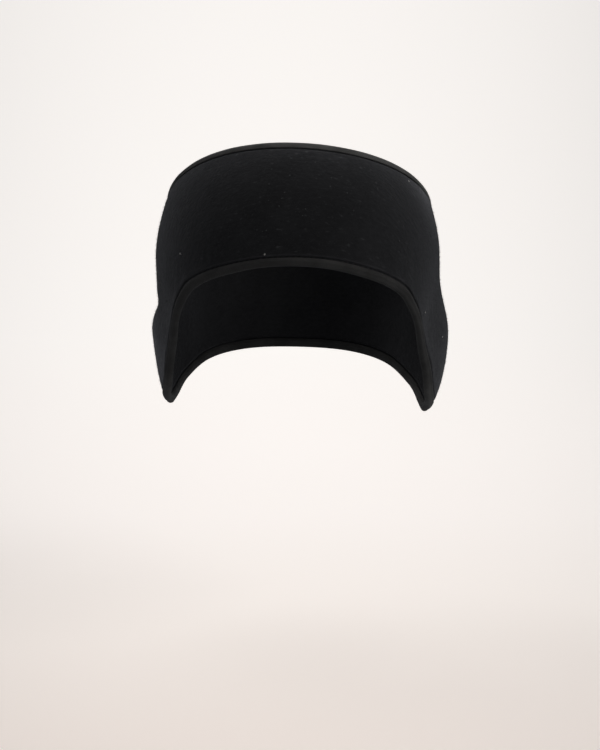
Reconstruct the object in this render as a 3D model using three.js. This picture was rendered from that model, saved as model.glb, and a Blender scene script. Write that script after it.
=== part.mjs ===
// Ear warmer headband of black fleece, as it sits on a head.
// A wide loop is high on the forehead, dips over both ears and runs low round the back of the head.
// Its two long edges are bound: a folded strip is sewn over each, with a narrow groove beside it.
// Millimetres, +Z up. The forehead faces -Y and the wearer's left ear is at +X.
// The origin is on the head's upright axis, level with the tops of the ears.
import * as THREE from "three";

// The head that the band is stretched over.
const headHalfWidth = 78.5;
const headFrontReach = 99;
const headBackReach = 96;
const widestLevel = 20;
const ovalPower = 2.1;
const domePower = 2.1;
const jawNarrowing = 3.2;
const napeNarrowing = 15;
const earFullness = 9.4;
const swellPower = 2.6;

// Levels of the two long edges, from the tops of the ears, and of the crown over the forehead's edge.
const foreheadTop = 88.8;
const foreheadArch = 25.9;
const napeTop = 20;
const lobeDrop = 63.5;
const napeDrop = 38;
const topEdgeFullness = 0.73;
const wornTilt = 2.3;
const crownRise = 17.7;

// The fleece and the strip that binds it.
const fleeceThickness = 3;
const pressedThickness = 1.6;
const bindingWidth = 5.1;
const bindingThickness = 1;
const sewnGap = 0.3;
const grooveWidth = 0.9;
const shoulderLength = 2.4;

// How finely the faces are cut.
const fieldSteps = 11;
const shoulderSteps = 2;
const profileSteps = 28;
const lengthDivisions = 224;
const turnProbe = THREE.MathUtils.degToRad(0.5);
const levelProbe = 1;
const turnSpans = [
  { to: 25, steps: 5 },
  { to: 88, steps: 23 },
  { to: 120, steps: 8 },
  { to: 180, steps: 10 },
];

// The lower edge, as a share of the way from the lobe's lowest point up to the forehead arch.
// Turn is in degrees round the head, from the forehead to the lobe.
const archRows = [
  { turn: 0, share: 1 },
  { turn: 10, share: 0.986 },
  { turn: 20, share: 0.943 },
  { turn: 30, share: 0.882 },
  { turn: 38, share: 0.807 },
  { turn: 44, share: 0.708 },
  { turn: 52, share: 0.569 },
  { turn: 62, share: 0.425 },
  { turn: 70, share: 0.286 },
  { turn: 78, share: 0.12 },
  { turn: 86, share: 0.045 },
  { turn: 94, share: 0 },
];

// The lower edge behind the lobe, as a share of the way from the lobe up to the nape's edge.
const napeRows = [
  { turn: 94, share: 0 },
  { turn: 106, share: 0.1 },
  { turn: 120, share: 0.42 },
  { turn: 136, share: 0.75 },
  { turn: 156, share: 0.95 },
  { turn: 180, share: 1 },
];

// Where the fleece stands out over an ear, or is drawn in beside it, over the cheek and at the lobe.
// Turn is in degrees, positive on the wearer's left. Drop, above and below are shares of lobeDrop, and swell
// is a share of earFullness. The three spreads are the distances to about a third of the swell.
const swells = [
  { name: "left ear", turn: 95, drop: 0.47, swell: 1, turnSpread: 24, above: 0.474, below: 0.63 },
  { name: "right ear", turn: -95, drop: 0.46, swell: 0.575, turnSpread: 24, above: 0.343, below: 0.718 },
  { name: "right fold", turn: -92, drop: 0.211, swell: 0.128, turnSpread: 26, above: 0.144, below: 0.135 },
  { name: "right crease", turn: -90, drop: 0.045, swell: -0.095, turnSpread: 30, above: 0.078, below: 0.085 },
  { name: "left cheek", turn: 68, drop: 0.61, swell: -0.656, turnSpread: 20, above: 0.74, below: 0.65 },
  { name: "right cheek", turn: -66, drop: 0.61, swell: -0.656, turnSpread: 20, above: 0.74, below: 0.65 },
  { name: "left lobe", turn: 90, drop: 1.116, swell: -0.37, turnSpread: 34, above: 0.18, below: 0.32 },
  { name: "right lobe", turn: -90, drop: 1.05, swell: -0.293, turnSpread: 34, above: 0.2, below: 0.32 },
];

// A smooth curve through the rows of a table, flat at both ends.
function readTable(rows, turn) {
  const turns = rows.map((row) => row.turn);
  const shares = rows.map((row) => row.share);
  const curve = new THREE.CubicInterpolant(turns, shares, 1);
  curve.settings = { endingStart: THREE.ZeroSlopeEnding, endingEnd: THREE.ZeroSlopeEnding };
  return curve.evaluate(turn)[0];
}

const lobeTurn = napeRows[0].turn;

// The whole band sits lower over the left ear than over the right one, by the tilt it is worn with.
function lowerEdge(turn) {
  const degrees = THREE.MathUtils.radToDeg(Math.abs(turn));
  const tilt = wornTilt * Math.sin(turn);
  if (degrees < lobeTurn) {
    return -lobeDrop - tilt + readTable(archRows, degrees) * (lobeDrop + foreheadArch);
  }
  return -lobeDrop - tilt + readTable(napeRows, degrees) * (lobeDrop - napeDrop);
}

function upperEdge(turn) {
  const share = ((1 + Math.cos(turn)) / 2) ** topEdgeFullness;
  return napeTop - wornTilt * Math.sin(turn) + (foreheadTop - napeTop) * share;
}

// How far the head reaches from its axis at a turn and a level: an oval that closes in over the crown,
// and narrows a little towards the jaw and more towards the nape.
function headRadius(turn, level) {
  const sideways = Math.abs(Math.sin(turn));
  const lengthways = Math.abs(Math.cos(turn));
  const reach = Math.cos(turn) > 0 ? headFrontReach : headBackReach;
  const oval =
    ((sideways / headHalfWidth) ** ovalPower + (lengthways / reach) ** ovalPower) ** (-1 / ovalPower);
  if (level > widestLevel) {
    const climb = (level - widestLevel) / (foreheadTop + crownRise - widestLevel);
    return oval * (1 - climb ** domePower) ** (1 / domePower);
  }
  const backwards = (1 - Math.cos(turn)) / 2;
  const narrowing = napeNarrowing * backwards ** 2 + jawNarrowing * sideways;
  const depth = (widestLevel - level) / (widestLevel + lobeDrop);
  return oval - narrowing * depth ** 2;
}

// The middle of the fleece, with what the ears and creases add.
function fleeceRadius(turn, level) {
  let radius = headRadius(turn, level) + fleeceThickness / 2;
  for (const row of swells) {
    const away = (THREE.MathUtils.radToDeg(turn) - row.turn) / row.turnSpread;
    const climb = level / lobeDrop + row.drop;
    const rise = climb / (climb > 0 ? row.above : row.below);
    radius += row.swell * earFullness * Math.exp(-(Math.hypot(away, rise) ** swellPower));
  }
  return radius;
}

// The fleece cut through at one turn, from its lower edge to its upper one, as radius and level.
function profileAt(turn) {
  const low = lowerEdge(turn);
  const high = upperEdge(turn);
  const points = [];
  for (let step = 0; step <= profileSteps; step += 1) {
    const level = THREE.MathUtils.lerp(low, high, step / profileSteps);
    points.push(new THREE.Vector2(fleeceRadius(turn, level), level));
  }
  return new THREE.SplineCurve(points);
}

function placeAt(turn, level) {
  const radius = fleeceRadius(turn, level);
  return new THREE.Vector3(radius * Math.sin(turn), -radius * Math.cos(turn), level);
}

// An edge that climbs crosses the cut at a slant, so a width across it is longer in the cut by this much.
function slantOf(turn, edge) {
  const before = placeAt(turn - turnProbe, edge(turn - turnProbe));
  const after = placeAt(turn + turnProbe, edge(turn + turnProbe));
  const level = edge(turn);
  const uphill = placeAt(turn, level + levelProbe).sub(placeAt(turn, level)).normalize();
  const run = after.sub(before);
  const climb = run.dot(uphill);
  const across = Math.sqrt(run.lengthSq() - climb * climb);
  return Math.hypot(1, climb / across);
}

// One cut through the band: its profile, its length, and the slant of each edge.
function cutAt(turn) {
  const profile = profileAt(turn);
  profile.arcLengthDivisions = lengthDivisions;
  return {
    turn,
    profile,
    length: profile.getLength(),
    lowSlant: slantOf(turn, lowerEdge),
    highSlant: slantOf(turn, upperEdge),
  };
}

function cutTurns() {
  const half = [0];
  for (const span of turnSpans) {
    const from = half[half.length - 1];
    for (let step = 1; step <= span.steps; step += 1) {
      half.push(THREE.MathUtils.lerp(from, span.to, step / span.steps));
    }
  }
  const other = half.slice(1, -1).reverse().map((degrees) => -degrees);
  return [...half, ...other].map(THREE.MathUtils.degToRad);
}

const cuts = cutTurns().map(cutAt);

// A point in a cut: along is the distance from the lower edge over the fleece, out is from its middle.
function pointIn(cut, along, out) {
  const share = THREE.MathUtils.clamp(along / cut.length, 0, 1);
  const middle = cut.profile.getPointAt(share);
  const uphill = cut.profile.getTangentAt(share);
  const radius = middle.x + uphill.y * out;
  const level = middle.y - uphill.x * out;
  return new THREE.Vector3(radius * Math.sin(cut.turn), -radius * Math.cos(cut.turn), level);
}

// A closed ring: the same outline in every cut, joined to the next cut all the way round the head.
// Each four-cornered patch is split along its shorter diagonal.
function ringGeometry(outlineIn) {
  const rings = cuts.map((cut) => outlineIn(cut).map(([along, out]) => pointIn(cut, along, out)));
  const corners = rings[0].length;
  const points = rings.flat();
  const index = [];
  for (let place = 0; place < rings.length; place += 1) {
    for (let corner = 0; corner < corners; corner += 1) {
      const following = (corner + 1) % corners;
      const here = place * corners;
      const next = ((place + 1) % rings.length) * corners;
      const [a, b, c, d] = [here + corner, next + corner, next + following, here + following];
      if (points[a].distanceTo(points[c]) < points[b].distanceTo(points[d])) {
        index.push(a, b, c, a, c, d);
      } else {
        index.push(a, b, d, b, c, d);
      }
    }
  }
  const geometry = new THREE.BufferGeometry().setFromPoints(points);
  geometry.setIndex(index);
  geometry.computeVertexNormals();
  return geometry;
}

const halfPressed = pressedThickness / 2;
const halfFleece = fleeceThickness / 2;
const channelHalf = halfPressed + sewnGap;
const bindingHalf = channelHalf + bindingThickness;
const tongueStart = bindingThickness + sewnGap;
const tongueEnd = bindingWidth + grooveWidth;

// One face of the fleece panel, from edge to edge: pressed flat under each binding, full thickness between.
// The fleece rises out of the groove beside a binding in a round shoulder.
function panelFace(cut) {
  const low = (distance) => distance * cut.lowSlant;
  const high = (distance) => cut.length - distance * cut.highSlant;
  const shoulder = [
    [tongueStart, halfPressed],
    [bindingWidth, halfPressed],
    [tongueEnd, halfPressed],
  ];
  for (let step = 1; step <= shoulderSteps; step += 1) {
    const rise = (Math.PI / 2) * (step / shoulderSteps);
    const distance = tongueEnd + shoulderLength * (1 - Math.cos(rise));
    shoulder.push([distance, THREE.MathUtils.lerp(halfPressed, halfFleece, Math.sin(rise))]);
  }
  const face = shoulder.map(([distance, out]) => [low(distance), out]);
  const fieldLow = low(tongueEnd + shoulderLength);
  const fieldHigh = high(tongueEnd + shoulderLength);
  for (let step = 1; step < fieldSteps; step += 1) {
    face.push([THREE.MathUtils.lerp(fieldLow, fieldHigh, step / fieldSteps), halfFleece]);
  }
  for (const [distance, out] of shoulder.reverse()) {
    face.push([high(distance), out]);
  }
  return face;
}

function panelOutline(cut) {
  const outer = panelFace(cut);
  const inner = outer.map(([along, out]) => [along, -out]).reverse();
  return [...outer, ...inner];
}

// The binding in a cut: a strip folded round the fleece's edge, with the pressed fleece in its channel.
// Distances are from the band's edge, and the nose is round.
const nose = Math.SQRT1_2 * bindingHalf;
const bindingSection = [
  [bindingWidth, channelHalf],
  [bindingThickness, channelHalf],
  [bindingThickness, -channelHalf],
  [bindingWidth, -channelHalf],
  [bindingWidth, -bindingHalf],
  [bindingHalf, -bindingHalf],
  [bindingHalf - nose, -nose],
  [0, 0],
  [bindingHalf - nose, nose],
  [bindingHalf, bindingHalf],
  [bindingWidth, bindingHalf],
];

function lowerBindingOutline(cut) {
  return bindingSection.map(([distance, out]) => [distance * cut.lowSlant, out]);
}

function upperBindingOutline(cut) {
  const section = bindingSection.map(([distance, out]) => [cut.length - distance * cut.highSlant, out]);
  return section.reverse();
}

const fleece = new THREE.MeshStandardMaterial({ color: 0x151516, roughness: 0.96, metalness: 0 });
const bindingCloth = new THREE.MeshStandardMaterial({ color: 0x1c1c1e, roughness: 0.85, metalness: 0 });

function piece(name, outlineIn, material) {
  const mesh = new THREE.Mesh(ringGeometry(outlineIn), material);
  mesh.name = name;
  return mesh;
}

const headband = new THREE.Group();
headband.name = "ear_warmer_headband";
headband.add(piece("fleece_panel", panelOutline, fleece));
headband.add(piece("top_binding", upperBindingOutline, bindingCloth));
headband.add(piece("bottom_binding", lowerBindingOutline, bindingCloth));

export default headband;
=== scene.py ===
import math

import bpy
import numpy as np
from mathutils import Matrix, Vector, noise


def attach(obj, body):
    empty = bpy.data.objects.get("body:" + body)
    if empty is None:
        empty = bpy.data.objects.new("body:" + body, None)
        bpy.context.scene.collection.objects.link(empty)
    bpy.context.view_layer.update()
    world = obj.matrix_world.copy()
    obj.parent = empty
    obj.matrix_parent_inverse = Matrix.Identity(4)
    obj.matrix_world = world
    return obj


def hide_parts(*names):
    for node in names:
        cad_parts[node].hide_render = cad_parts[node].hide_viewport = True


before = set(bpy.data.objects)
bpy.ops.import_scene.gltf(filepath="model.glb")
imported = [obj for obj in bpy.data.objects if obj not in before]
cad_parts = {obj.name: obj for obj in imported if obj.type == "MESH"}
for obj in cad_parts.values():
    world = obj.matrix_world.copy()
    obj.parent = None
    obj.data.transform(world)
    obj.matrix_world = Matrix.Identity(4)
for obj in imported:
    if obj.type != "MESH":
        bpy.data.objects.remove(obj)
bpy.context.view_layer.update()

mm = 0.001
print("frame loaded:", ", ".join(sorted(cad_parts)))


def addObject(name, data):
    obj = bpy.data.objects.new(name, data)
    bpy.context.collection.objects.link(obj)
    return obj


def turnTo(obj, aim):
    # turns a camera or a light towards a place
    obj.rotation_euler = (aim - obj.location).to_track_quat("-Z", "Y").to_euler()


# The camera: nearly level, a little above the band, which sits high in the picture.
cameraSetup = {
    "standoff": Vector((0.0013, -0.005, 0.0)),  # the distance is measured from here
    "distance": 1.0,
    "azimuth": 0.5,
    "elevation": 5.0,
    "aim": Vector((0.0013, -0.005, -0.0435)),
    "lens": 83.3,
    "sensor": 36.0,
    "clip": (0.05, 40.0),
}


def makeCamera(setup):
    azimuth = math.radians(setup["azimuth"])
    elevation = math.radians(setup["elevation"])
    back = Vector((
        math.sin(azimuth) * math.cos(elevation),
        -math.cos(azimuth) * math.cos(elevation),
        math.sin(elevation),
    ))
    data = bpy.data.cameras.new("camera")
    data.lens = setup["lens"]
    data.sensor_width = setup["sensor"]
    data.clip_start, data.clip_end = setup["clip"]
    camera = addObject("camera", data)
    camera.location = setup["standoff"] + back * setup["distance"]
    turnTo(camera, setup["aim"])
    bpy.context.scene.camera = camera


makeCamera(cameraSetup)
print("camera set")


# The form that holds the band open: millimetres from its upright axis and from its level.
wornForm = {
    "halfWidth": 78.5,
    "frontReach": 99.0,
    "backReach": 96.0,
    "widestLevel": 20.0,
    "crownRise": 17.7,  # over the top of the front
    "ovalPower": 2.1,
    "domePower": 2.1,
    "jawNarrowing": 3.2,
    "napeNarrowing": 15.0,
    "earFullness": 9.4,
    "swellPower": 2.6,
}

# The levels of the band's two long edges, in millimetres.
bandEdges = {
    "foreheadTop": 88.8,
    "foreheadArch": 25.9,
    "napeTop": 20.0,
    "lobeDrop": 63.5,
    "napeDrop": 38.0,
    "topEdgeFullness": 0.73,
    "wornTilt": 2.3,  # the left side sits lower
    "arch": [  # degrees from the front, share of the way up from the lobe to the arch
        (0, 1.0), (10, 0.986), (20, 0.943), (30, 0.882), (38, 0.807), (44, 0.708),
        (52, 0.569), (62, 0.425), (70, 0.286), (78, 0.12), (86, 0.045), (94, 0.0),
    ],
    "nape": [  # degrees from the front, share of the way up from the lobe to the nape
        (94, 0.0), (106, 0.1), (120, 0.42), (136, 0.75), (156, 0.95), (180, 1.0),
    ],
}

# Where the cloth stands out or is drawn in: turn, drop, swell, turnSpread, above, below.
# Drop, above and below are shares of lobeDrop, and swell is a share of earFullness.
swells = {
    "left ear": (95, 0.47, 1.0, 24, 0.474, 0.63),
    "right ear": (-95, 0.46, 0.575, 24, 0.343, 0.718),
    "right fold": (-92, 0.211, 0.128, 26, 0.144, 0.135),
    "right crease": (-90, 0.045, -0.095, 30, 0.078, 0.085),
    "left cheek": (68, 0.61, -0.656, 20, 0.74, 0.65),
    "right cheek": (-66, 0.61, -0.656, 20, 0.74, 0.65),
    "left lobe": (90, 1.116, -0.37, 34, 0.18, 0.32),
    "right lobe": (-90, 1.05, -0.293, 34, 0.2, 0.32),
}

# The cloth and the strip folded over its edges, in millimetres.
cloth = {
    "thickness": 3.0,
    "pressed": 1.6,  # under the strip
    "stripWidth": 5.1,
    "stripThickness": 1.0,
    "sewnGap": 0.3,
    "groove": 0.9,
    "drawnAt": -6.0,  # degrees from the front
    "drawnSpread": 22.0,
    "drawnShare": 0.13,
}


def readTable(rows, at):
    # a smooth curve through the rows, level at both ends
    places, values = (np.array(column, float) for column in zip(*rows))
    secants = np.diff(values) / np.diff(places)
    slopes = np.concatenate([[0.0], (secants[1:] + secants[:-1]) / 2, [0.0]])
    row = np.clip(np.searchsorted(places, at, side="right") - 1, 0, len(places) - 2)
    width = places[row + 1] - places[row]
    p = (at - places[row]) / width
    rise = values[row] + (values[row + 1] - values[row]) * (3 - 2 * p) * p * p
    lean = slopes[row] * (1 - p) ** 2 * p - slopes[row + 1] * (1 - p) * p * p
    return rise + lean * width


def lowerEdge(turn):
    degrees = np.degrees(np.abs(turn))
    lobeTurn = bandEdges["nape"][0][0]
    archRise = bandEdges["lobeDrop"] + bandEdges["foreheadArch"]
    napeRise = bandEdges["lobeDrop"] - bandEdges["napeDrop"]
    arch = readTable(bandEdges["arch"], np.minimum(degrees, lobeTurn)) * archRise
    nape = readTable(bandEdges["nape"], np.maximum(degrees, lobeTurn)) * napeRise
    lobe = -bandEdges["lobeDrop"] - bandEdges["wornTilt"] * np.sin(turn)
    return lobe + np.where(degrees < lobeTurn, arch, nape)


def upperEdge(turn):
    nape = bandEdges["napeTop"] - bandEdges["wornTilt"] * np.sin(turn)
    share = ((1 + np.cos(turn)) / 2) ** bandEdges["topEdgeFullness"]
    return nape + (bandEdges["foreheadTop"] - bandEdges["napeTop"]) * share


def formRadius(turn, level):
    sideways = np.abs(np.sin(turn))
    lengthways = np.abs(np.cos(turn))
    reach = np.where(np.cos(turn) > 0, wornForm["frontReach"], wornForm["backReach"])
    power = wornForm["ovalPower"]
    ovalSum = (sideways / wornForm["halfWidth"]) ** power + (lengthways / reach) ** power
    crown = bandEdges["foreheadTop"] + wornForm["crownRise"]
    widest = wornForm["widestLevel"]
    climb = np.clip((level - widest) / (crown - widest), 0, 1)
    dome = (1 - climb ** wornForm["domePower"]) ** (1 / wornForm["domePower"])
    depth = np.maximum(widest - level, 0) / (widest + bandEdges["lobeDrop"])
    backwards = (1 - np.cos(turn)) / 2
    narrowing = wornForm["napeNarrowing"] * backwards ** 2 + wornForm["jawNarrowing"] * sideways
    return ovalSum ** (-1 / power) * dome - narrowing * depth ** 2


def clothRadius(turn, level):
    # to the middle of the cloth
    radius = formRadius(turn, level) + cloth["thickness"] / 2
    for turnAt, drop, swell, turnSpread, above, below in swells.values():
        away = (np.degrees(turn) - turnAt) / turnSpread
        climb = level / bandEdges["lobeDrop"] + drop
        rise = climb / np.where(climb > 0, above, below)
        falloff = np.exp(-np.hypot(away, rise) ** wornForm["swellPower"])
        radius = radius + swell * wornForm["earFullness"] * falloff
    return radius


def pointOn(turn, level):
    radius = clothRadius(turn, level)
    return np.stack([radius * np.sin(turn), -radius * np.cos(turn), level + 0 * radius], axis=-1)


def slantOf(turn, edge):
    # an edge that climbs crosses an upright cut at a slant, so a width over it is longer there
    probe = math.radians(0.5)
    run = pointOn(turn + probe, edge(turn + probe)) - pointOn(turn - probe, edge(turn - probe))
    uphill = pointOn(turn, edge(turn) + 1) - pointOn(turn, edge(turn))
    uphill /= np.linalg.norm(uphill, axis=-1, keepdims=True)
    climb = (run * uphill).sum(axis=-1)
    across = np.sqrt((run * run).sum(axis=-1) - climb * climb)
    return np.hypot(1, climb / across)


def drawnIn(turn):
    # the lower strip is drawn in over the middle of the front, so all is narrower there
    away = (np.degrees(turn) - cloth["drawnAt"]) / cloth["drawnSpread"]
    return 1 - cloth["drawnShare"] * np.exp(-away * away)


def makeCuts(count, steps=300):
    # upright cuts through the cloth, evenly spaced round the band
    turns = np.linspace(-math.pi, math.pi, count, endpoint=False)
    low, high = lowerEdge(turns), upperEdge(turns)
    levels = low[:, None] + (high - low)[:, None] * np.linspace(0, 1, steps + 1)
    radii = clothRadius(turns[:, None], levels)
    lengths = np.cumsum(np.hypot(np.diff(levels, axis=1), np.diff(radii, axis=1)), axis=1)
    return {
        "turns": turns,
        "levels": levels,
        "radii": radii,
        "lengths": np.concatenate([np.zeros((count, 1)), lengths], axis=1),
        "lowSlant": slantOf(turns, lowerEdge) * drawnIn(turns),
        "highSlant": slantOf(turns, upperEdge),
    }


def fromEdge(cuts, distance, upper):
    # how far along each cut a distance from the edge lies
    if upper:
        return cuts["lengths"][:, -1] - distance * cuts["highSlant"]
    return distance * cuts["lowSlant"]


def fromStrips(cuts, along):
    # how far in from the groove beside each strip a place along a cut lies
    tongueEnd = cloth["stripWidth"] + cloth["groove"]
    fromLow = along / cuts["lowSlant"][:, None] - tongueEnd
    fromHigh = (cuts["lengths"][:, -1:] - along) / cuts["highSlant"][:, None] - tongueEnd
    return fromLow, fromHigh


def placesIn(cuts, along, out):
    # along and out have a row for each cut; the places come back in metres
    places = np.zeros(along.shape + (3,))
    for cut, turn in enumerate(cuts["turns"]):
        lengths, radii, levels = cuts["lengths"][cut], cuts["radii"][cut], cuts["levels"][cut]
        leanOut = np.interp(along[cut], lengths, np.gradient(radii, lengths))
        leanUp = np.interp(along[cut], lengths, np.gradient(levels, lengths))
        size = np.hypot(leanOut, leanUp)
        radius = np.interp(along[cut], lengths, radii) + leanUp / size * out[cut]
        level = np.interp(along[cut], lengths, levels) - leanOut / size * out[cut]
        places[cut] = np.stack([radius * math.sin(turn), -radius * math.cos(turn), level], axis=-1)
    return places * mm


def addMesh(name, points, faces, edges=()):
    mesh = bpy.data.meshes.new(name)
    mesh.from_pydata(points, edges, faces)
    mesh.polygons.foreach_set("use_smooth", [True] * len(faces))
    mesh.update()
    return addObject(name, mesh)


def tubeFaces(first, rings, sides):
    # the faces between rings of points, where first is the first ring's first point
    faces = []
    for ring in range(rings - 1):
        for side in range(sides):
            start = first + ring * sides + side
            beside = first + ring * sides + (side + 1) % sides
            faces.append((start, beside, beside + sides, start + sides))
    return faces


def makeRing(name, points, aroundAt, acrossAt):
    # a closed ring of quads, with a UV map in metres round the band and across the cloth
    cuts, corners = points.shape[:2]
    faces = []
    uvs = []
    for cut, corner in np.ndindex(cuts, corners):
        here, ahead = cut * corners, (cut + 1) % cuts * corners
        nextCorner = (corner + 1) % corners
        faces.append((here + corner, ahead + corner, ahead + nextCorner, here + nextCorner))
        u0, u1 = aroundAt[cut], aroundAt[cut + 1]
        v0, v1 = acrossAt[corner], acrossAt[corner + 1]
        uvs.append(((u0, v0), (u1, v0), (u1, v1), (u0, v1)))
    obj = addMesh(name, points.reshape(-1, 3).tolist(), faces)
    layer = obj.data.uv_layers.new(name="cloth")
    layer.data.foreach_set("uv", np.array(uvs, np.float32).ravel())
    return obj


def placesAround(line):
    # how far round the band each point of a closed line is, and the whole way at the end
    loop = np.concatenate([line, line[:1]])
    return np.concatenate([[0.0], np.cumsum(np.linalg.norm(np.diff(loop, axis=0), axis=1))])


# The fleece panel: pressed thin where a strip holds it, with a round shoulder beside that,
# which stands a little proud of the rest where the seam has squeezed the pile out.
panelSetup = {
    "cuts": 600,
    "fieldSteps": 60,
    "rowPull": 0.11,  # draws the rows together near the seams
    "shoulderSteps": 8,
    "shoulder": 1.5,
    "puffHeight": 0.3,
    "puffReach": 1.1,
    # where the painted highlight along the shoulder's crest lies, and how strong it is at the upper
    # seam
    "crestFrom": 0.75,
    "crestReach": 0.4,
    "crestSpread": 50.0,  # degrees to both sides of the front
    "upperCrest": 0.35,
    "pillsAt": (16.0, 62.0),  # degrees from the front and level of the most pilled place
    "pillsSpread": (36.0, 19.0),
    "upperPaintedLight": 1.5,  # painted light: the pile is painted paler towards the upper strip, outside, for the light from above
    "upperPaintedLightReach": 5.0,
    "freeReach": 4.0,  # how far in from a strip the cloth starts to move by itself
    "waves": [(52.0, 0.5), (19.0, 0.16), (6.0, 0.07)],  # size and height of its unevenness
    "gatherSize": 8.0,  # small gathers that the seams draw into the cloth
    "gatherHeight": 0.3,
    "gatherReach": 7.0,
    "gatherShift": 7.0,  # gives the upper seam other gathers
    "easeIn": 1.5,  # the nap and the gathers start over this distance from a groove
    "seed": 11.0,
}


def puffAt(distance, setup):
    # how far the cloth puffs up at a distance from the groove
    share = distance / setup["puffReach"]
    return setup["puffHeight"] * share * np.exp(1 - share)


def crestHighlightAt(distance, setup):
    # painted highlight along the crest beside a seam, from 0 to 1
    away = (distance - setup["crestFrom"]) / setup["crestReach"]
    return np.exp(-away * away)


def panelRows(cuts, setup):
    # distances over the cloth and half thicknesses, from the lower edge to the upper one
    halfPressed = cloth["pressed"] / 2
    halfFull = cloth["thickness"] / 2
    tongueEnd = cloth["stripWidth"] + cloth["groove"]
    border = [
        (cloth["stripThickness"] + cloth["sewnGap"], halfPressed),
        (cloth["stripWidth"], halfPressed),
        (tongueEnd, halfPressed),
    ]
    for step in range(1, setup["shoulderSteps"] + 1):
        rise = math.pi / 2 * step / setup["shoulderSteps"]
        distance = setup["shoulder"] * (1 - math.cos(rise))
        half = halfPressed + (halfFull - halfPressed) * math.sin(rise)
        border.append((tongueEnd + distance, half + puffAt(distance, setup)))
    low = [fromEdge(cuts, distance, False) for distance, half in border]
    high = [fromEdge(cuts, distance, True) for distance, half in border]
    shares = [step / setup["fieldSteps"] for step in range(1, setup["fieldSteps"])]
    shares = [share - setup["rowPull"] * math.sin(math.tau * share) for share in shares]
    field = [low[-1] + (high[-1] - low[-1]) * share for share in shares]
    along = np.stack(low + field + high[::-1], axis=1)
    halves = np.array([half for distance, half in border])
    halves = np.concatenate([halves, np.full(len(field), halfFull), halves[::-1]])
    halves = np.tile(halves, (len(cuts["turns"]), 1))
    inField = slice(len(border), -len(border))
    fromLow, fromHigh = fromStrips(cuts, along[:, inField])
    halves[:, inField] += puffAt(fromLow, setup) + puffAt(fromHigh, setup)
    return along, halves


def panelLift(place, fromLow, fromHigh, setup):
    # how far the cloth stands off its even form
    nearest = min(fromLow, fromHigh)
    if nearest <= 0:
        return 0.0
    lift = 0.0
    for number, (size, height) in enumerate(setup["waves"]):
        lift += height * noise.noise(place / (size * mm) + Vector((setup["seed"], number, 0)))
    lift *= min(nearest / setup["freeReach"], 1)
    shift = 0 if fromLow < fromHigh else setup["gatherShift"]
    gatherAt = Vector((place.x, place.y, 0)) / (setup["gatherSize"] * mm)
    gather = noise.noise(gatherAt + Vector((0, 0, setup["seed"] + shift)))
    fade = math.exp(-nearest / setup["gatherReach"]) * min(nearest / setup["easeIn"], 1)
    return lift + setup["gatherHeight"] * gather * fade


def paintFaces(obj, name, outside, inside):
    # a value for each point, which the materials and the scattered pieces read
    attribute = obj.data.attributes.new(name, "FLOAT", "POINT")
    attribute.data.foreach_set("value", np.concatenate([outside, inside], axis=1).ravel())


def makePanel(setup):
    cuts = makeCuts(setup["cuts"])
    along, half = panelRows(cuts, setup)
    middle = placesIn(cuts, along, np.zeros_like(along))
    fromLow, fromHigh = fromStrips(cuts, along)
    lift = np.zeros_like(along)
    for cut, row in np.ndindex(along.shape):
        place = Vector(middle[cut, row])
        lift[cut, row] = panelLift(place, fromLow[cut, row], fromHigh[cut, row], setup)
    outside = placesIn(cuts, along, lift + half)
    inside = placesIn(cuts, along, lift - half)
    points = np.concatenate([outside, inside[:, ::-1]], axis=1)
    centreRow = middle[:, along.shape[1] // 2]
    acrossAt = along[0] * mm
    acrossAt = np.concatenate([acrossAt, 2 * acrossAt[-1] - acrossAt[::-1], [2 * acrossAt[-1]]])
    panel = makeRing("fleecePanel", points, placesAround(centreRow), acrossAt)
    free = np.clip(np.minimum(fromLow, fromHigh) / setup["easeIn"], 0, 1)
    paintFaces(panel, "nap", free, np.zeros_like(free))
    turns = np.degrees(cuts["turns"])[:, None]
    turnAway = (turns - setup["pillsAt"][0]) / setup["pillsSpread"][0]
    levelAway = (middle[:, :, 2] / mm - setup["pillsAt"][1]) / setup["pillsSpread"][1]
    pilled = free * np.exp(-turnAway ** 2 - levelAway ** 2)
    paintFaces(panel, "pilling", pilled, np.zeros_like(free))
    # painted highlight along the crests beside both seams, mostly in front; inside, a mirrored copy
    ahead = np.exp(-(turns / setup["crestSpread"]) ** 4)
    crestHighlight = (crestHighlightAt(fromLow, setup) + crestHighlightAt(fromHigh, setup) * setup["upperCrest"]) * ahead
    # painted light from above, towards the upper strip
    paintedTopLight = setup["upperPaintedLight"] * np.exp(-np.maximum(fromHigh, 0) / setup["upperPaintedLightReach"])
    paintFaces(panel, "seam", crestHighlight + paintedTopLight, crestHighlight[:, ::-1])
    return panel, middle


fleecePanel, panelMiddle = makePanel(panelSetup)
print("fleece panel:", len(fleecePanel.data.polygons), "faces")


# The strips: folded round an edge, with a round nose, turned ends and a slightly full face.
stripSetup = {
    "cuts": 640,
    "crown": 0.5,  # how far a face stands up along its middle
    "faceSteps": 8,
    "noseSteps": 10,
    "endSteps": 4,
    "channelSteps": 4,
    "rippleSize": 3.2,
    "rippleHeight": 0.14,
    "swaySize": 14.0,
    "swayHeight": 0.12,
    "sideShift": 5.0,  # gives the inner face another ripple
    "seed": 3.0,
}


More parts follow.
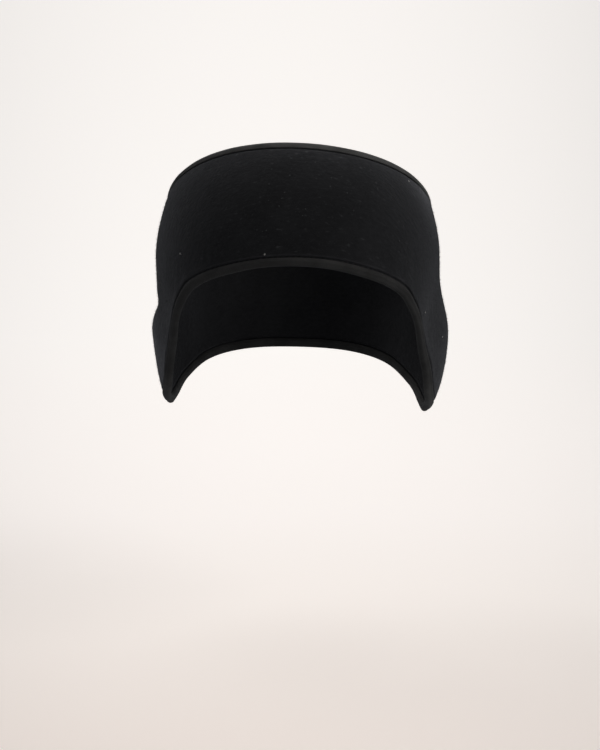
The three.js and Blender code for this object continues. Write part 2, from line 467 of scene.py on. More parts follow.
def stripSection(setup):
    # distance from the band's edge, out from the cloth's middle, and how free it is to ripple
    channel = cloth["pressed"] / 2 + cloth["sewnGap"]
    half = channel + cloth["stripThickness"]
    endRadius = cloth["stripThickness"] / 2
    endAt = cloth["stripWidth"] - endRadius
    side = []
    for step in range(setup["endSteps"] + 1):
        angle = math.pi / 2 - math.pi * step / setup["endSteps"]
        out = channel + endRadius - endRadius * math.sin(angle)
        side.append((endAt + endRadius * math.cos(angle), out, 1.0))
    for step in range(1, setup["faceSteps"] + 1):
        share = step / setup["faceSteps"]
        crown = setup["crown"] * math.sin(math.pi * share)
        side.append((endAt + (half - endAt) * share, half + crown, 1 - share))
    nose = []
    for step in range(1, setup["noseSteps"]):
        angle = math.pi / 2 - math.pi * step / setup["noseSteps"]
        nose.append((half - half * math.cos(angle), half * math.sin(angle), 0.0))
    underside = [(distance, -out, free) for distance, out, free in reversed(side)]
    channelRun = cloth["stripThickness"] - endAt
    shares = [step / setup["channelSteps"] for step in range(1, setup["channelSteps"] + 1)]
    channelIn = [(endAt + channelRun * share, -channel, 0.0) for share in shares]
    channelOut = [(distance, channel, 0.0) for distance, out, free in reversed(channelIn)]
    return side + nose + underside + channelIn + channelOut


def makeStrip(name, upper, setup):
    cuts = makeCuts(setup["cuts"])
    section = stripSection(setup)
    along = np.stack([fromEdge(cuts, distance, upper) for distance, out, free in section], axis=1)
    out = np.tile([out for distance, out, free in section], (len(cuts["turns"]), 1))
    edge = placesIn(cuts, fromEdge(cuts, 0.0, upper)[:, None], np.zeros((len(out), 1)))[:, 0]
    channel = cloth["pressed"] / 2 + cloth["sewnGap"]
    for cut, corner in np.ndindex(out.shape):
        middleOut, free = section[corner][1:]
        if abs(middleOut) > channel:
            side = math.copysign(1, middleOut)
            place = Vector(edge[cut])
            shift = Vector((setup["sideShift"] * side, 0, setup["seed"]))
            ripple = setup["rippleHeight"] * noise.noise(place / (setup["rippleSize"] * mm) + shift)
            sway = setup["swayHeight"] * noise.noise(place / (setup["swaySize"] * mm) + shift)
            out[cut, corner] += side * (ripple * free + sway * (1 - free))
    points = placesIn(cuts, along, out)
    sides = zip(section, section[1:] + section[:1])
    widths = [math.dist(start[:2], end[:2]) for start, end in sides]
    acrossAt = np.concatenate([[0.0], np.cumsum(widths)]) * mm
    if not upper:
        points = points[:, ::-1]
    return makeRing(name, points, placesAround(edge), acrossAt)


topBinding = makeStrip("topBinding", True, stripSetup)
bottomBinding = makeStrip("bottomBinding", False, stripSetup)
print("bindings:", len(topBinding.data.polygons) + len(bottomBinding.data.polygons), "faces")


def setInputs(tree, node, values):
    # each value is a plain one or another node's output
    for name, value in values.items():
        if isinstance(value, bpy.types.NodeSocket):
            tree.links.new(value, node.inputs[name])
        else:
            node.inputs[name].default_value = value


def addNode(tree, kind, values=None, **settings):
    node = tree.nodes.new(kind)
    for name, value in settings.items():
        setattr(node, name, value)
    setInputs(tree, node, values or {})
    return node


# Finishes. Patterns are in metres, on a piece's own UV map or on object coordinates. A noise
# is given by its scale, detail and roughness, a bump by its height and strength, and a span
# by the pattern's heights where a change starts and where it is full.
noiseSpan = (0.35, 0.65)  # where most of a noise lies


def makeMaterial(name, finish, look, *more):
    # a look is a function that makes the patterns and returns the shader inputs that they drive
    material = bpy.data.materials.new(name)
    material.use_nodes = True
    tree = material.node_tree
    shader = next(node for node in tree.nodes if node.type == "BSDF_PRINCIPLED")
    setInputs(tree, shader, finish["shader"])
    setInputs(tree, shader, look(tree, finish, *more))
    return material


def placeFrom(tree):
    return addNode(tree, "ShaderNodeTexCoord").outputs["Object"]


def heightFrom(tree, place):
    return addNode(tree, "ShaderNodeSeparateXYZ", {0: place}).outputs[2]


def noiseFrom(tree, vector, scale, detail=4.0, roughness=0.55):
    values = {"Vector": vector, "Scale": scale, "Detail": detail, "Roughness": roughness}
    return addNode(tree, "ShaderNodeTexNoise", values).outputs[0]


def lyingNoise(tree, uv, stretch, pattern):
    # a noise that is drawn out round the band
    lying = addNode(tree, "ShaderNodeMapping", {"Vector": uv, "Scale": (stretch, 1, 1)})
    return noiseFrom(tree, lying.outputs[0], *pattern)


def linesFrom(tree, uvMap, turn, pitch, wander=0.0):
    # even lines, turned by some degrees; the texture has 20 radians in a metre at scale 1
    uv = addNode(tree, "ShaderNodeUVMap", uv_map=uvMap).outputs[0]
    rotation = (0, 0, math.radians(turn))
    turned = addNode(tree, "ShaderNodeMapping", {"Vector": uv, "Rotation": rotation})
    return addNode(tree, "ShaderNodeTexWave", {
        "Vector": turned.outputs[0],
        "Scale": math.tau / 20 / pitch,
        "Distortion": wander,
        "Detail Scale": 3,
    }).outputs["Fac"]


def mathFrom(tree, operation, first, second=0.0):
    return addNode(tree, "ShaderNodeMath", {0: first, 1: second}, operation=operation).outputs[0]


def rangeFrom(tree, value, low, high, start=0, end=1, course="LINEAR"):
    values = {"Value": value, "From Min": low, "From Max": high, "To Min": start, "To Max": end}
    return addNode(tree, "ShaderNodeMapRange", values, interpolation_type=course).outputs[0]


def colourFrom(tree, factor, dark, light):
    values = {0: factor, 6: dark, 7: light}
    return addNode(tree, "ShaderNodeMix", values, data_type="RGBA").outputs[2]


def scaledFrom(tree, colour, factor):
    scaled = addNode(tree, "ShaderNodeVectorMath", {0: colour, "Scale": factor}, operation="SCALE")
    return scaled.outputs[0]


def scaledColour(colour, factor):
    return (*(channel * factor for channel in colour[:3]), 1)


def bumpFrom(tree, pattern, height, strength, under=None):
    values = {"Height": pattern, "Distance": height, "Strength": strength}
    if under:
        values["Normal"] = under
    return addNode(tree, "ShaderNodeBump", values).outputs[0]


# Painted light: the pile is painted paler low down at both sides: from and to a height, and how much
# paler.
# Some spots get a painted highlight: place, reach and how much paler the middle is.
paintedLight = {
    "from": 0.01,
    "to": -0.045,
    "paler": 3.3,
    "palerInside": 1.5,
    "spots": [
        ((-0.084, -0.006, -0.030), 0.036, 3.6),  # the right side
        ((0.071, -0.022, 0.061), 0.036, 4.0),  # the left shoulder, beside the upper strip
    ],
}


def paintedLightFrom(tree, colour, outside):
    # painted light: makes the colour paler low down and at the spots, less so on the inside
    place = placeFrom(tree)
    most = rangeFrom(tree, outside, 0, 1, paintedLight["palerInside"], paintedLight["paler"])
    paler = rangeFrom(tree, heightFrom(tree, place), paintedLight["to"], paintedLight["from"], most, 1)
    for middle, reach, mostPaler in paintedLight["spots"]:
        ends = {0: place, 1: middle}
        away = addNode(tree, "ShaderNodeVectorMath", ends, operation="DISTANCE").outputs["Value"]
        spotPaler = rangeFrom(tree, away, 0, reach, mostPaler, 1, "SMOOTHSTEP")
        paler = mathFrom(tree, "MULTIPLY", paler, spotPaler)
    return scaledFrom(tree, colour, paler)


fleeceFinish = {
    "dark": (0.0052, 0.0052, 0.0056, 1),
    "light": (0.0120, 0.0120, 0.0127, 1),
    "fleck": (0.0260, 0.0260, 0.0270, 1),
    "flecks": (760.0, 2, 0.5),
    "fleckStretch": 0.35,
    "fleckSpan": (0.63, 0.76),
    "clumps": (620.0, 5, 0.65),
    "clumpStretch": 0.45,  # the pile lies a little round the band
    "fibres": (2400.0, 3, 0.6),
    "fibreShare": 0.5,
    "patches": (42.0, 4, 0.55),
    "shadeSpan": (1.2, 1.85),
    "roughness": (0.3, 0.7, 0.86, 1.0),  # the span, and the roughness at its ends
    "paintedSeamHighlight": 1.6,
    "bump": (0.0006, 0.8),
    "shader": {
        "Specular IOR Level": 0.1,
        "Sheen Weight": 0.14,
        "Sheen Roughness": 0.5,
        "Sheen Tint": (0.86, 0.87, 0.92, 1),
    },
}


def fleeceLook(tree, finish):
    uv = addNode(tree, "ShaderNodeUVMap", uv_map="cloth").outputs[0]
    place = placeFrom(tree)
    clumps = lyingNoise(tree, uv, finish["clumpStretch"], finish["clumps"])
    fibres = noiseFrom(tree, place, *finish["fibres"])
    patches = noiseFrom(tree, place, *finish["patches"])
    shade = mathFrom(tree, "ADD", mathFrom(tree, "ADD", clumps, fibres), patches)
    share = rangeFrom(tree, shade, *finish["shadeSpan"])
    ground = colourFrom(tree, share, finish["dark"], finish["light"])
    flecks = lyingNoise(tree, uv, finish["fleckStretch"], finish["flecks"])
    outside = addNode(tree, "ShaderNodeAttribute", attribute_name="nap").outputs["Fac"]
    fleckShare = rangeFrom(tree, flecks, *finish["fleckSpan"], 0, outside)
    flecked = colourFrom(tree, fleckShare, ground, finish["fleck"])
    # painted light: the seam attribute makes the fleece paler along the crests and towards the upper
    # strip
    seam = addNode(tree, "ShaderNodeAttribute", attribute_name="seam").outputs["Fac"]
    paler = rangeFrom(tree, seam, 0, 1, 1, 1 + finish["paintedSeamHighlight"])
    pile = mathFrom(tree, "ADD", clumps, mathFrom(tree, "MULTIPLY", fibres, finish["fibreShare"]))
    return {
        "Base Color": paintedLightFrom(tree, scaledFrom(tree, flecked, paler), outside),
        "Roughness": rangeFrom(tree, fibres, *finish["roughness"]),
        "Normal": bumpFrom(tree, pile, *finish["bump"]),
    }


stripFinish = {
    "dark": (0.0158, 0.0154, 0.0148, 1),
    "light": (0.0325, 0.0316, 0.0304, 1),
    "topPaintedLight": 2.9,  # painted light: the upper strip is a paler copy of the same finish, for the light from above
    "paintedLowLightFrom": -0.038,  # painted light: the lower strip is painted paler round the lobes, for the light from below
    "paintedLowLightTo": -0.062,
    "paintedLowLightPaler": 2.8,
    "ribs": (38.0, 0.0009, 1.2),  # turn in degrees, pitch and how much they wander
    "ribBump": (0.00012, 0.7),
    "yarns": (1900.0, 3, 0.6),
    "yarnBump": (0.00012, 0.6),
    "shadeSpan": (0.5, 1.4),
    "roughness": (0.3, 0.7, 0.7, 0.9),
    "patches": (75.0, 4, 0.55),
    "patchTone": (0.72, 1.2),  # how dark and how light the patches are
    "shader": {
        "Specular IOR Level": 0.15,
        "Sheen Weight": 0.04,
        "Sheen Roughness": 0.4,
        "Sheen Tint": (0.9, 0.9, 0.93, 1),
    },
}


def stripLook(tree, finish, paintedLightGain):
    # the gain makes a paler copy of the colours for the upper strip, as painted light
    dark, light = (scaledColour(finish[tone], paintedLightGain) for tone in ("dark", "light"))
    place = placeFrom(tree)
    ribs = linesFrom(tree, "cloth", *finish["ribs"])
    yarns = noiseFrom(tree, place, *finish["yarns"])
    share = rangeFrom(tree, mathFrom(tree, "ADD", ribs, yarns), *finish["shadeSpan"])
    # painted light: paler low down round the lobes
    paintedLowLightSpan = (finish["paintedLowLightTo"], finish["paintedLowLightFrom"])
    paintedLowLight = rangeFrom(tree, heightFrom(tree, place), *paintedLowLightSpan, finish["paintedLowLightPaler"], 1)
    patches = noiseFrom(tree, place, *finish["patches"])
    patched = rangeFrom(tree, patches, *noiseSpan, *finish["patchTone"])
    tone = mathFrom(tree, "MULTIPLY", paintedLowLight, patched)
    ribBump = bumpFrom(tree, ribs, *finish["ribBump"])
    return {
        "Base Color": scaledFrom(tree, colourFrom(tree, share, dark, light), tone),
        "Roughness": rangeFrom(tree, yarns, *finish["roughness"]),
        "Normal": bumpFrom(tree, yarns, *finish["yarnBump"], ribBump),
    }


threadFinish = {
    "dark": (0.003, 0.003, 0.0033, 1),
    "light": (0.009, 0.009, 0.0095, 1),
    "plies": (40.0, 0.0005),
    "plyBump": (0.00005, 0.8),
    "roughness": (0, 1, 0.75, 0.55),
    "shader": {"Specular IOR Level": 0.35, "Sheen Weight": 0.1, "Sheen Roughness": 0.35},
}


def threadLook(tree, finish):
    plies = linesFrom(tree, "thread", *finish["plies"])
    return {
        "Base Color": colourFrom(tree, plies, finish["dark"], finish["light"]),
        "Roughness": rangeFrom(tree, plies, *finish["roughness"]),
        "Normal": bumpFrom(tree, plies, *finish["plyBump"]),
    }


napFinish = {
    "dark": (0.0060, 0.0060, 0.0065, 1),
    "light": (0.0180, 0.0180, 0.0190, 1),
    "shadeScale": 900.0,
    "shader": {
        "Roughness": 0.95,
        "Specular IOR Level": 0.1,
        "Sheen Weight": 0.1,
        "Sheen Roughness": 0.5,
    },
}


pillFinish = {
    "dark": (0.016, 0.016, 0.017, 1),
    "light": (0.050, 0.050, 0.052, 1),
    "shadeScale": 1400.0,
    "shader": {**napFinish["shader"], "Sheen Weight": 0.2},  # as the nap, with more sheen
}


def unevenColour(tree, finish):
    # a soft pattern, and the colours that follow it
    uneven = noiseFrom(tree, placeFrom(tree), finish["shadeScale"])
    shade = rangeFrom(tree, uneven, *noiseSpan)
    return uneven, colourFrom(tree, shade, finish["dark"], finish["light"])


def napLook(tree, finish):
    # the nap and the pills take the fleece's painted light, low down and at the spots
    return {"Base Color": paintedLightFrom(tree, unevenColour(tree, finish)[1], 1.0)}


for piece, *finishing in (
    (fleecePanel, "blackFleece", fleeceFinish, fleeceLook),
    # the upper strip is a copy of the strip's finish made paler by painted light
    (topBinding, "blackTopStrip", stripFinish, stripLook, stripFinish["topPaintedLight"]),
    (bottomBinding, "blackBottomStrip", stripFinish, stripLook, 1.0),
):
    piece.data.materials.append(makeMaterial(*finishing))
threadMaterial = makeMaterial("blackThread", threadFinish, threadLook)
napMaterial = makeMaterial("blackNap", napFinish, napLook)
pillMaterial = makeMaterial("rubbedPileWithPaintedLight", pillFinish, napLook)
print("materials made")


def newTree(name, inputs):
    # a geometry tree with named inputs, and the identifier of each
    tree = bpy.data.node_groups.new(name, "GeometryNodeTree")
    tree.interface.new_socket("Geometry", in_out="OUTPUT", socket_type="NodeSocketGeometry")
    identifiers = {}
    for label, kind in {"Geometry": "Geometry", **inputs}.items():
        socket = tree.interface.new_socket(label, in_out="INPUT", socket_type="NodeSocket" + kind)
        identifiers[label] = socket.identifier
    return tree, identifiers


def attributeFrom(tree, name, kind):
    node = addNode(tree, "GeometryNodeInputNamedAttribute", {"Name": name}, data_type=kind)
    return node.outputs[0]


def finishTree(tree, points, shape, material, placing):
    # stands a copy of the shape on each point, makes the copies real and gives them a finish
    copies = addNode(tree, "GeometryNodeInstanceOnPoints", {
        "Points": points,
        "Instance": addNode(tree, "GeometryNodeObjectInfo", {"Object": shape}).outputs["Geometry"],
        **placing,
    }).outputs[0]
    realized = addNode(tree, "GeometryNodeRealizeInstances", {0: copies}).outputs[0]
    painted = addNode(tree, "GeometryNodeSetMaterial", {"Geometry": realized, "Material": material})
    addNode(tree, "NodeGroupOutput", {0: painted.outputs[0]})


def bakeTree(carrier, tree, identifiers, values, name):
    # runs the tree on the carrier and keeps only the plain mesh that it makes
    modifier = carrier.modifiers.new(name, "NODES")
    modifier.node_group = tree
    for label, value in values.items():
        modifier[identifiers[label]] = value
    depsgraph = bpy.context.evaluated_depsgraph_get()
    depsgraph.update()
    mesh = bpy.data.meshes.new_from_object(carrier.evaluated_get(depsgraph))
    mesh.name = name
    carrier.modifiers.remove(modifier)
    return addObject(name, mesh)


# The stitches that hold a strip: one row in the groove outside, one on the strip inside.
stitchSetup = {
    "cuts": 720,
    "pitch": 3.1,
    "length": 2.6,
    "thread": 0.32,
    "bow": 0.26,  # how far the ends dip into the cloth
    "endPower": 6,  # how suddenly the ends get thin
    "endSize": 0.12,  # the least share of the thread's area there
    "outsideFromEdge": 5.52,
    "outsideHeight": 0.78,
    "insideFromEdge": 4.1,
    "insideHeight": 2.28,
    "sections": 7,
    "sides": 6,
}


def makeStitch(setup):
    # one bowed stitch along X, with a UV map along and round the thread
    length, radius = setup["length"] * mm, setup["thread"] / 2 * mm
    sides = setup["sides"]
    points = []
    for section in range(setup["sections"]):
        share = 2 * section / (setup["sections"] - 1) - 1
        size = radius * math.sqrt(max(1 - share ** setup["endPower"], setup["endSize"]))
        for side in range(sides):
            angle = math.tau * side / sides
            drop = setup["bow"] * mm * share * share
            points.append((length / 2 * share, size * math.cos(angle), size * math.sin(angle) - drop))
    faces = tubeFaces(0, setup["sections"], sides)
    last = len(points) - sides
    faces.append(tuple(range(sides - 1, -1, -1)))
    faces.append(tuple(range(last, last + sides)))
    stitch = addMesh("stitchShape", points, faces)
    layer = stitch.data.uv_layers.new(name="thread")
    for loop in stitch.data.loops:
        section, side = divmod(loop.vertex_index, sides)
        layer.data[loop.index].uv = (points[loop.vertex_index][0], side * math.tau * radius / sides)
    return stitch


def makeStitchLine(upper, fromEdgeAt, height, setup):
    # the closed line that a row of stitches follows, with the way out from the cloth
    cuts = makeCuts(setup["cuts"])
    along = fromEdge(cuts, fromEdgeAt, upper)[:, None]
    line = placesIn(cuts, along, np.full_like(along, height))[:, 0]
    above = height + math.copysign(1, height)
    outward = placesIn(cuts, along, np.full_like(along, above))[:, 0] - line
    edges = [(number, (number + 1) % len(line)) for number in range(len(line))]
    carrier = addMesh("stitchLine", line.tolist(), [], edges)
    attribute = carrier.data.attributes.new("outward", "FLOAT_VECTOR", "POINT")
    attribute.data.foreach_set("vector", (outward / mm).ravel())
    return carrier


def makeStitchTree():
    inputs = {"Pitch": "Float", "Stitch": "Object", "Thread": "Material"}
    tree, identifiers = newTree("stitchRow", inputs)
    start = addNode(tree, "NodeGroupInput").outputs
    curve = addNode(tree, "GeometryNodeMeshToCurve", {0: start["Geometry"]}).outputs[0]
    spacing = {"Curve": curve, "Length": start["Pitch"]}
    evenly = addNode(tree, "GeometryNodeResampleCurve", spacing, mode="LENGTH").outputs[0]
    tangent = addNode(tree, "GeometryNodeInputTangent").outputs[0]
    outward = attributeFrom(tree, "outward", "FLOAT_VECTOR")
    lengthways = addNode(tree, "FunctionNodeAlignRotationToVector", {"Vector": tangent}, axis="X")
    upright = addNode(tree, "FunctionNodeAlignRotationToVector", {
        "Rotation": lengthways.outputs[0],
        "Vector": outward,
    }, axis="Z", pivot_axis="X")
    finishTree(tree, evenly, start["Stitch"], start["Thread"], {"Rotation": upright.outputs[0]})
    return tree, identifiers


def makeStitches(setup):
    stitch = makeStitch(setup)
    tree, identifiers = makeStitchTree()
    values = {"Pitch": setup["pitch"] * mm, "Stitch": stitch, "Thread": threadMaterial}
    rows = []
    for edgeName, upper in (("top", True), ("bottom", False)):
        for faceName, sign in (("Outside", 1), ("Inside", -1)):
            side = faceName.lower()
            height = sign * setup[side + "Height"]
            line = makeStitchLine(upper, setup[side + "FromEdge"], height, setup)
            rows.append(bakeTree(line, tree, identifiers, values, edgeName + faceName + "Stitches"))
            bpy.data.objects.remove(line)
    bpy.data.objects.remove(stitch)
    return rows


stitchRows = makeStitches(stitchSetup)
print("stitches:", sum(len(row.data.polygons) for row in stitchRows), "faces")


# The nap: short fine fibres that stand off the outer face.
napSetup = {
    "count": 19000,
    "length": 1.0,
    "thickness": 0.07,
    "bend": 0.35,
    "rings": [(-0.1, 1.0, 0.0), (0.55, 0.7, 0.25)],  # shares of length, thickness and bend
    "tip": 0.92,
    "tilt": 0.95,
    "scale": (0.5, 1.25),
    "seed": 5,
}


def ringOf(sides, radius, height, shift=0.0):
    angles = [math.tau * side / sides for side in range(sides)]
    return [(radius * math.cos(angle) + shift, radius * math.sin(angle), height) for angle in angles]


def makeFibre(setup):
    # one bent fibre along Z: three sides, a foot below the surface and a pointed tip
    length, radius, bend = setup["length"] * mm, setup["thickness"] / 2 * mm, setup["bend"] * mm
    points = []
    for share, size, lean in setup["rings"]:
        points += ringOf(3, radius * size, length * share, bend * lean)
    points.append((bend, 0, length * setup["tip"]))
    faces = [(2, 1, 0)]
    for side in range(3):
        beside = (side + 1) % 3
        faces.append((side, beside, beside + 3, side + 3))
        faces.append((side + 3, beside + 3, 6))
    return addMesh("fibreShape", points, faces)


# The pills: small clumps that the pile has rubbed into, most of them high up in front.
pillSetup = {
    "count": 560,
    "radius": 0.42,
    "flatness": 0.75,
    "roughness": 0.5,
    "lumps": 2.2,
    "rings": 6,
    "sides": 9,
    "tilt": 0.5,
    "scale": (0.45, 1.15),
    "seed": 8,
}


def makePill(setup):
    # one bumpy, slightly flat ball that sits half in the surface
    rings, sides = setup["rings"], setup["sides"]
    ball = [(0, 0, 1)]
    for ring in range(1, rings):
        polar = math.pi * ring / rings
        ball += ringOf(sides, math.sin(polar), math.cos(polar))
    ball.append((0, 0, -1))
    points = []
    for place in map(Vector, ball):
        size = setup["radius"] * mm * (1 + setup["roughness"] * noise.noise(place * setup["lumps"]))
        points.append((place.x * size, place.y * size, place.z * size * setup["flatness"]))
    faces = []
    last = len(points) - 1
    for side in range(sides):
        beside = (side + 1) % sides
        faces.append((0, 1 + side, 1 + beside))
        for ring in range(rings - 2):
            upper = 1 + ring * sides
            lower = upper + sides
            faces.append((upper + side, lower + side, lower + beside, upper + beside))
        faces.append((last, last - sides + beside, last - sides + side))
    return addMesh("pillShape", points, faces)


def makeScatterTree(name, where):
    # stands copies of a shape on the faces, as close together as an attribute says
    tree, identifiers = newTree(name, {
        "Density": "Float",
        "Tilt": "Float",
        "Smallest": "Float",
        "Largest": "Float",
        "Seed": "Int",
        "Shape": "Object",
        "Finish": "Material",
    })
    start = addNode(tree, "NodeGroupInput").outputs
    share = attributeFrom(tree, where, "FLOAT")
    density = mathFrom(tree, "MULTIPLY", share, start["Density"])
    spread = addNode(tree, "GeometryNodeDistributePointsOnFaces", {
        "Mesh": start["Geometry"],
        "Density": density,
        "Seed": start["Seed"],
    })
    back = mathFrom(tree, "MULTIPLY", start["Tilt"], -1.0)
    low = addNode(tree, "ShaderNodeCombineXYZ", {0: back, 1: back, 2: 0.0}).outputs[0]
    most = {0: start["Tilt"], 1: start["Tilt"], 2: math.tau}
    high = addNode(tree, "ShaderNodeCombineXYZ", most).outputs[0]
    ends = {0: low, 1: high, "Seed": start["Seed"]}
    lean = addNode(tree, "FunctionNodeRandomValue", ends, data_type="FLOAT_VECTOR")
    turned = addNode(tree, "FunctionNodeEulerToRotation", {0: lean.outputs[0]}).outputs[0]
    standing = addNode(tree, "FunctionNodeRotateRotation", {
        "Rotation": spread.outputs["Rotation"],
        "Rotate By": turned,
    }, rotation_space="LOCAL").outputs[0]
    ends = {2: start["Smallest"], 3: start["Largest"], "Seed": start["Seed"]}
    size = addNode(tree, "FunctionNodeRandomValue", ends)
    placing = {"Rotation": standing, "Scale": size.outputs[1]}
    finishTree(tree, spread.outputs["Points"], start["Shape"], start["Finish"], placing)
    return tree, identifiers


def scatter(name, where, shape, material, setup):
    # about as many copies as the count says, if the attribute were 1 all over the panel
    tree, identifiers = makeScatterTree(name, where)
    scattered = bakeTree(fleecePanel, tree, identifiers, {
        "Density": setup["count"] / panelArea,
        "Tilt": setup["tilt"],
        "Smallest": setup["scale"][0],
        "Largest": setup["scale"][1],
        "Seed": setup["seed"],
        "Shape": shape,
        "Finish": material,
    }, name)
    bpy.data.objects.remove(shape)
    return scattered


def areaOf(grid):
    # the area of a closed ring of points, in square metres
    loop = np.concatenate([grid, grid[:1]])
    first = loop[1:, :-1] - loop[:-1, :-1]
    second = loop[:-1, 1:] - loop[:-1, :-1]
    return float(np.linalg.norm(np.cross(first, second), axis=-1).sum())


panelArea = areaOf(panelMiddle)
fleeceNap = scatter("fleeceNap", "nap", makeFibre(napSetup), napMaterial, napSetup)
pills = scatter("pills", "pilling", makePill(pillSetup), pillMaterial, pillSetup)
print("nap and pills:", len(fleeceNap.data.polygons), "and", len(pills.data.polygons), "faces")


# Lint: a few tufts of pale fibre that cling to the fleece.
lintSetup = {
    "tufts": [  # degrees from the front, level and size in millimetres
        (-43.5, 29.3, 0.72),
        (-9.4, 31.1, 0.55),
        (54.8, 67.1, 0.62),
        (57.0, -3.1, 0.64),
        (81.2, -19.5, 0.5),
    ],
    "fibres": 9,
    "steps": 6,
    "thickness": 0.07,
    "searchFrom": 1.05,  # the fleece is looked for from a little outside it
    "spread": 0.2,  # shares of a tuft's size
    "lengths": (1.1, 2.0),
    "arch": 0.35,
    "clearance": 0.06,
    "mostBend": 1.2,
    "seed": 21,
}


lintFinish = {
    "dark": (0.58, 0.56, 0.53, 1),
    "light": (0.74, 0.72, 0.69, 1),
    "shadeScale": 1600.0,
    "bump": (0.00004, 0.5),
    "shader": {"Roughness": 1.0, "Specular IOR Level": 0.1},
}


def lintLook(tree, finish):
    uneven, colour = unevenColour(tree, finish)
    return {"Base Color": colour, "Normal": bumpFrom(tree, uneven, *finish["bump"])}


def makeLint(setup, panel):
    # each fibre is a bent tube with three sides that winds about in its tuft
    rng = np.random.default_rng(setup["seed"])
    radius = setup["thickness"] / 2
    points = []
    faces = []
    for degrees, level, size in setup["tufts"]:
        at = Vector(pointOn(np.array(math.radians(degrees)), np.array(level)) * mm)
        place, normal = panel.closest_point_on_mesh(at * setup["searchFrom"])[1:3]
        turn = normal.to_track_quat("Z", "Y")
        for fibre in range(setup["fibres"]):
            heading = rng.uniform(0, math.tau)
            bend = rng.uniform(-setup["mostBend"], setup["mostBend"])
            spot = rng.normal(0, size * setup["spread"], 2)
            length = size * rng.uniform(*setup["lengths"])
            first = len(points)
            for step in range(setup["steps"] + 1):
                arch = size * setup["arch"] * math.sin(math.pi * step / setup["steps"])
                height = setup["clearance"] + arch
                for side in range(3):
                    angle = math.tau * side / 3
                    beside = radius * math.cos(angle)
                    offset = Vector((
                        spot[0] - math.sin(heading) * beside,
                        spot[1] + math.cos(heading) * beside,
                        height + radius * math.sin(angle),
                    ))
                    points.append(place + turn @ offset * mm)
                spot = spot + length / setup["steps"] * np.array([math.cos(heading), math.sin(heading)])
                heading += bend
            faces += tubeFaces(first, setup["steps"] + 1, 3)
            last = len(points) - 3
            faces.append((first + 2, first + 1, first))
            faces.append((last, last + 1, last + 2))
    lint = addMesh("lint", points, faces)
    lint.data.materials.append(makeMaterial("paleLint", lintFinish, lintLook))
    return lint


lint = makeLint(lintSetup, fleecePanel)
print("lint:", len(lint.data.polygons), "faces")


# What each piece rides on, is finished as and stands for.
pieces = [
    (fleecePanel, "fleece", "fleece_panel"),
    (topBinding, "binding", "top_binding"),
    (bottomBinding, "binding", "bottom_binding"),
    (fleeceNap, "fleece", None),
    (pills, "fleece", None),
    (lint, "fleece", None),
]
pieces += [(row, "thread", None) for row in stitchRows]
for piece, slotName, node in pieces:
    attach(piece, "root")
    if node:
        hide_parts(node)


# A pale floor that sweeps up into a wall, soft lights and a pale surround.
studio = {
    "floorLevel": -0.2,
    "halfWidth": 7.0,
    "front": -5.0,
    "sweepStart": 1.6,
    "sweepRadius": 1.6,
    "wallTop": 6.0,
    "wallBack": 3.2,
    "sweepSteps": 24,
    "colour": (0.83, 0.80, 0.77, 1),
    "grain": (3.0, 3),
    "grainTone": 0.985,
    "shader": {"Roughness": 0.9, "Specular IOR Level": 0.1},
    "glowFrom": -0.2,  # place along Y of the first and the last glow
    "glowTo": 1.6,
    "glows": [  # share of that way, red, green, blue
        (0.0, 0.375, 0.310, 0.270),
        (0.15, 0.490, 0.440, 0.405),
        (0.3, 0.545, 0.505, 0.480),
        (0.47, 0.580, 0.545, 0.520),
        (1.0, 0.655, 0.630, 0.605),
    ],
    "glowFadeMost": 0.2,
    "glowFade": 4.6,  # how fast the glow fades to both sides
    "glowShift": 0.02,
    "slopeFrom": 1.0,  # the fade spreads from a place this far in front
    "slopeLeast": 0.8,
    "plainGlow": (0.70, 0.665, 0.64, 1),
    "plainPaper": 0.3,  # what is left of the paper's own colour there
    "plainBeside": (0.24, 0.7),  # the glow turns plain out to the sides
    "plainBefore": (-0.3, -1.0),  # and in front
    "surround": (0.93, 0.95, 1.0, 1),
    "surroundStrength": 0.22,
}

# Name: place, size, power and colour.
lights = {
    "rightLight": ((1.7, -0.9, 0.9), 1.8, 20.5, (1.0, 0.99, 0.98)),
    "backLight": ((-0.8, 0.9, 2.4), 2.0, 13.5, (1.0, 0.98, 0.96)),
    "floorBounce": ((0.0, -0.3, -0.18), 1.2, 0.45, (1.0, 0.99, 0.97)),  # what the floor gives back
}


def makeWalls(setup):
    # plain walls at both sides and in front, so that the floor ends nowhere
    side, front, back = setup["halfWidth"], setup["front"], setup["wallBack"]
    corners = [(-side, back), (-side, front), (side, front), (side, back)]
    points = [(x, y, z) for z in (setup["floorLevel"], setup["wallTop"]) for x, y in corners]
    return addMesh("studioWalls", points, [(0, 1, 5, 4), (1, 2, 6, 5), (2, 3, 7, 6)])


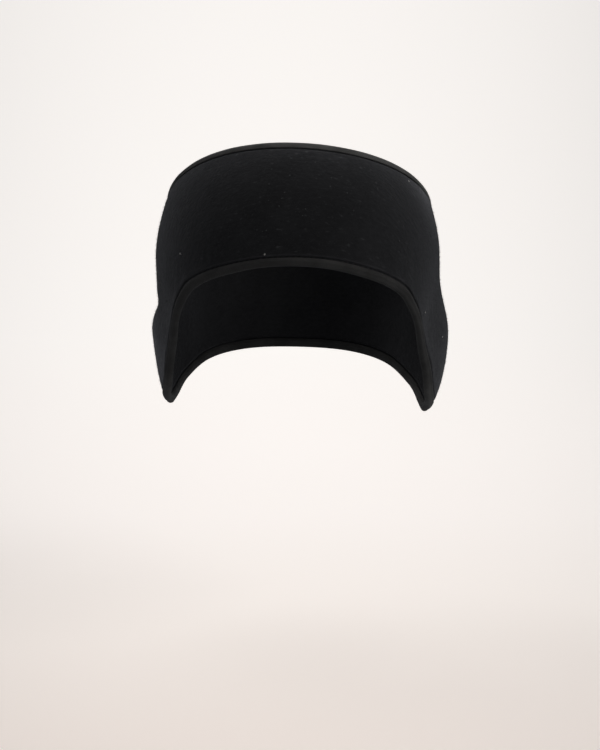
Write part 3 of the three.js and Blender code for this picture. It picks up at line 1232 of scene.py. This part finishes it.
def paperLook(tree, setup):
    # the glow follows the floor backwards and fades to both sides, and is plain further out
    place = placeFrom(tree)
    grain = noiseFrom(tree, place, *setup["grain"])
    paper = colourFrom(tree, grain, scaledColour(setup["colour"], setup["grainTone"]), setup["colour"])
    across, back = addNode(tree, "ShaderNodeSeparateXYZ", {0: place}).outputs[:2]
    ramp = addNode(tree, "ShaderNodeValToRGB", {
        0: rangeFrom(tree, back, setup["glowFrom"], setup["glowTo"]),
    })
    elements = ramp.color_ramp.elements
    elements.remove(elements[1])
    for number, (at, *glow) in enumerate(setup["glows"]):
        element = elements[0] if number == 0 else elements.new(at)
        element.color = (*glow, 1)
    reach = mathFrom(tree, "ADD", back, setup["slopeFrom"])
    slope = mathFrom(tree, "DIVIDE", across, mathFrom(tree, "MAXIMUM", reach, setup["slopeLeast"]))
    offCentre = mathFrom(tree, "ADD", slope, setup["glowShift"])
    beside = rangeFrom(tree, mathFrom(tree, "ABSOLUTE", offCentre), *setup["plainBeside"])
    plain = mathFrom(tree, "MAXIMUM", beside, rangeFrom(tree, back, *setup["plainBefore"]))
    fade = mathFrom(tree, "MULTIPLY", offCentre, offCentre)
    fade = mathFrom(tree, "MULTIPLY", fade, setup["glowFade"])
    fade = mathFrom(tree, "MINIMUM", fade, setup["glowFadeMost"])
    fade = mathFrom(tree, "MAXIMUM", fade, mathFrom(tree, "MULTIPLY", plain, setup["glowFadeMost"]))
    return {
        "Base Color": scaledFrom(tree, paper, rangeFrom(tree, plain, 0, 1, 1, setup["plainPaper"])),
        "Emission Color": colourFrom(tree, plain, ramp.outputs[0], setup["plainGlow"]),
        "Emission Strength": mathFrom(tree, "SUBTRACT", 1.0, fade),
    }


def makeStage(setup):
    profile = [(setup["front"], setup["floorLevel"])]
    radius = setup["sweepRadius"]
    for step in range(setup["sweepSteps"] + 1):
        angle = math.pi / 2 * step / setup["sweepSteps"]
        y = setup["sweepStart"] + radius * math.sin(angle)
        profile.append((y, setup["floorLevel"] + radius * (1 - math.cos(angle))))
    profile.append((profile[-1][0], setup["wallTop"]))
    points = [(side * setup["halfWidth"], y, z) for y, z in profile for side in (-1, 1)]
    faces = [(2 * row, 2 * row + 1, 2 * row + 3, 2 * row + 2) for row in range(len(profile) - 1)]
    sweep = addMesh("studioSweep", points, faces)
    walls = makeWalls(setup)
    walls.visible_shadow = False
    material = makeMaterial("palePaper", setup, paperLook)
    for backdrop in (sweep, walls):
        backdrop.data.materials.append(material)
        backdrop.visible_diffuse = False  # the glow doesn't light the band
        backdrop.visible_glossy = False


def makeLights(setup):
    for name, (place, size, power, colour) in setup.items():
        data = bpy.data.lights.new(name, "AREA")
        data.shape = "DISK"
        data.size = size
        data.energy = power
        data.color = colour
        light = addObject(name, data)
        light.location = place
        turnTo(light, Vector((0, 0, 0)))
        light.visible_camera = False


def makeSurround(setup):
    world = bpy.data.worlds.new("surround")
    world.use_nodes = True
    background = next(node for node in world.node_tree.nodes if node.type == "BACKGROUND")
    background.inputs["Color"].default_value = setup["surround"]
    background.inputs["Strength"].default_value = setup["surroundStrength"]
    bpy.context.scene.world = world


makeStage(studio)
makeLights(lights)
makeSurround(studio)
bpy.context.scene.view_settings.view_transform = "Standard"
print("stage and lights set")
